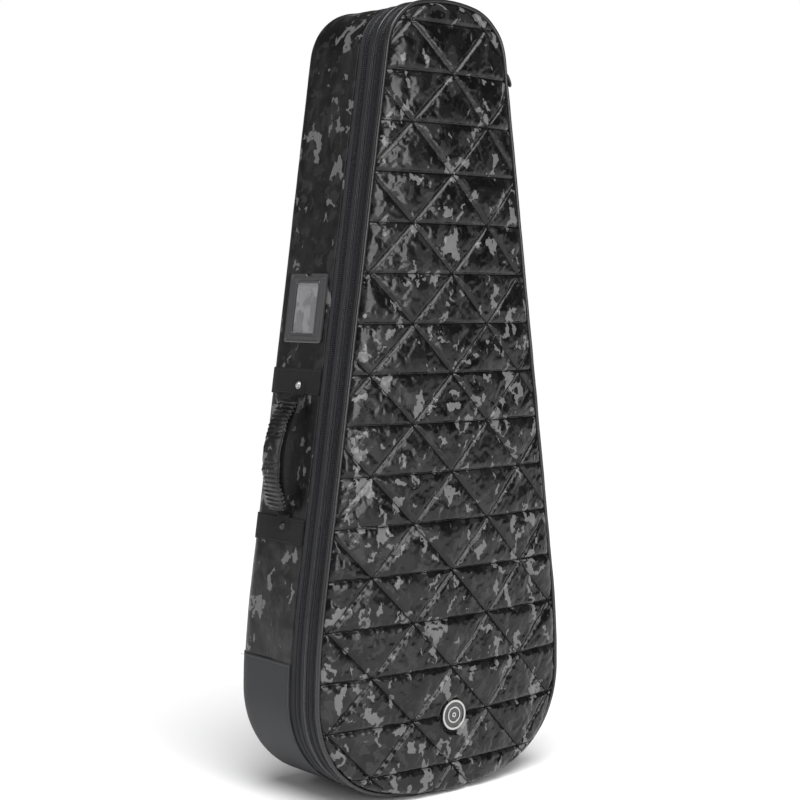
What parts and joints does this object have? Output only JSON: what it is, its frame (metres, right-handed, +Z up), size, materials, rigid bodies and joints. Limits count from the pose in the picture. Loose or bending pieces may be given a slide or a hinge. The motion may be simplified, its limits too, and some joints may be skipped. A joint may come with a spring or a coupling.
{
  "type": "padded gig bag",
  "caption": "Padded guitar gig bag with a quilted front pocket, full-length zips, side carry handle and label window.",
  "frame": {"origin": "middle of the flattened underside, centred on the width and on the overall depth with the back straps", "axes": "+Z up along the bag, -Y towards the quilted front, X across; the carry handle is on the -X side"},
  "size_m": [0.4597, 0.236, 1.1264],
  "materials": {
    "camo_fabric": "glossy coated cloth with a mottled charcoal print",
    "quilt_fabric": "glossy coated cloth with a mottled charcoal print, quilted",
    "foam": "closed-cell foam",
    "lining": "brushed nylon",
    "boot_fabric": "rubberised basket weave",
    "piping": "glossy",
    "zip_tape": "woven tape",
    "zip_coil": "moulded coil",
    "webbing": "woven webbing",
    "grip_fabric": "glossy coated cloth, gathered",
    "bright_metal": "polished",
    "slider_metal": "gunmetal",
    "moulding": "satin",
    "label_frame": "satin vinyl",
    "film": "clear film",
    "card": "card",
    "badge_enamel": "enamel",
    "strap_pad": "padded mesh"
  },
  "bodies": {
    "case": {"back_skin": "camo_fabric", "back_foam": "foam", "back_lining": "lining", "gusset_skin": "camo_fabric", "gusset_foam": "foam", "gusset_lining": "lining", "boot": "boot_fabric", "main_zip_back_tape": "zip_tape", "main_zip_back_coil": "zip_coil", "main_hinge_strip": "zip_tape", "handle_bands": "webbing", "handle_anchors": "webbing", "rivets": "bright_metal", "label_frame": "label_frame", "label_film": "film", "neck_cradle": "foam", "neck_strap": "webbing", "end_block": "foam", "head_pad": "foam", "shoulder_strap_left": "strap_pad", "shoulder_strap_right": "strap_pad", "strap_webbing": "webbing", "ladder_locks": "moulding", "strap_yoke": "webbing", "hang_loop": "webbing"},
    "lid": {"lid_skin": "lining", "lid_foam": "foam", "lid_lining": "lining", "middle_piping": "piping", "main_zip_front_tape": "zip_tape", "main_zip_front_coil": "zip_coil", "pocket_zip_back_tape": "zip_tape", "pocket_zip_back_coil": "zip_coil", "pocket_hinge_strip": "zip_tape"},
    "pocket_cover": {"cover_skin": "quilt_fabric", "cover_foam": "foam", "cover_lining": "lining", "front_piping": "piping", "pocket_zip_front_tape": "zip_tape", "pocket_zip_front_coil": "zip_coil", "badge_rim": "bright_metal", "badge_disc": "badge_enamel", "badge_emblem": "bright_metal"},
    "handle": {"handle_grip": "grip_fabric", "handle_core": "webbing"},
    "label_card": {"label_card": "card"},
    "main_slider_upper": {"main_slider_upper": "slider_metal"},
    "main_pull_upper": {"main_pull_upper": "slider_metal", "main_grip_upper": "moulding"},
    "main_slider_lower": {"main_slider_lower": "slider_metal"},
    "main_pull_lower": {"main_pull_lower": "slider_metal", "main_grip_lower": "moulding"},
    "pocket_slider_upper": {"pocket_slider_upper": "slider_metal"},
    "pocket_pull_upper": {"pocket_pull_upper": "slider_metal", "pocket_grip_upper": "moulding"},
    "pocket_slider_lower": {"pocket_slider_lower": "slider_metal"},
    "pocket_pull_lower": {"pocket_pull_lower": "slider_metal", "pocket_grip_lower": "moulding"}
  },
  "joints": [
    {"name": "lid_hinge", "type": "hinge", "parent": "case", "child": "lid", "pos_m": [0.21314, -0.0495, 0.40125], "axis": [-0.1392, 0, 0.9903], "range_deg": [0, 95]},
    {"name": "pocket_hinge", "type": "hinge", "parent": "lid", "child": "pocket_cover", "pos_m": [0.21314, -0.0795, 0.40125], "axis": [-0.1392, 0, 0.9903], "range_deg": [0, 75]},
    {"name": "handle_swing", "type": "hinge", "parent": "case", "child": "handle", "pos_m": [-0.19695, 0.016, 0.4877], "axis": [0.1392, 0, 0.9903], "range_deg": [-35, 35]},
    {"name": "card_slide", "type": "slide", "parent": "case", "child": "label_card", "axis": [0.1392, 0, 0.9903], "range_m": [0, 0.055]},
    {"name": "main_slider_upper_run", "type": "hinge", "parent": "case", "child": "main_slider_upper", "pos_m": [0.033, -0.0495, 1.04349], "axis": [0, -1, 0], "range_deg": [0, 69]},
    {"name": "main_pull_upper_turn", "type": "hinge", "parent": "main_slider_upper", "child": "main_pull_upper", "pos_m": [0.11777, -0.0495, 1.05541], "axis": [0, -1, 0], "range_deg": [-12, 120]},
    {"name": "main_slider_lower_run", "type": "slide", "parent": "case", "child": "main_slider_lower", "axis": [0.1392, 0, -0.9903], "range_m": [0, 0.35]},
    {"name": "main_pull_lower_turn", "type": "hinge", "parent": "main_slider_lower", "child": "main_pull_lower", "pos_m": [0.125, -0.0495, 1.00391], "axis": [0, -1, 0], "range_deg": [-4, 120]},
    {"name": "pocket_slider_upper_run", "type": "hinge", "parent": "lid", "child": "pocket_slider_upper", "pos_m": [0.033, -0.0795, 1.04349], "axis": [0, -1, 0], "range_deg": [0, 69]},
    {"name": "pocket_pull_upper_turn", "type": "hinge", "parent": "pocket_slider_upper", "child": "pocket_pull_upper", "pos_m": [0.11777, -0.0795, 1.05541], "axis": [0, -1, 0], "range_deg": [-12, 120]},
    {"name": "pocket_slider_lower_run", "type": "slide", "parent": "lid", "child": "pocket_slider_lower", "axis": [0.1392, 0, -0.9903], "range_m": [0, 0.35]},
    {"name": "pocket_pull_lower_turn", "type": "hinge", "parent": "pocket_slider_lower", "child": "pocket_pull_lower", "pos_m": [0.125, -0.0795, 1.00391], "axis": [0, -1, 0], "range_deg": [-4, 120]}
  ]
}
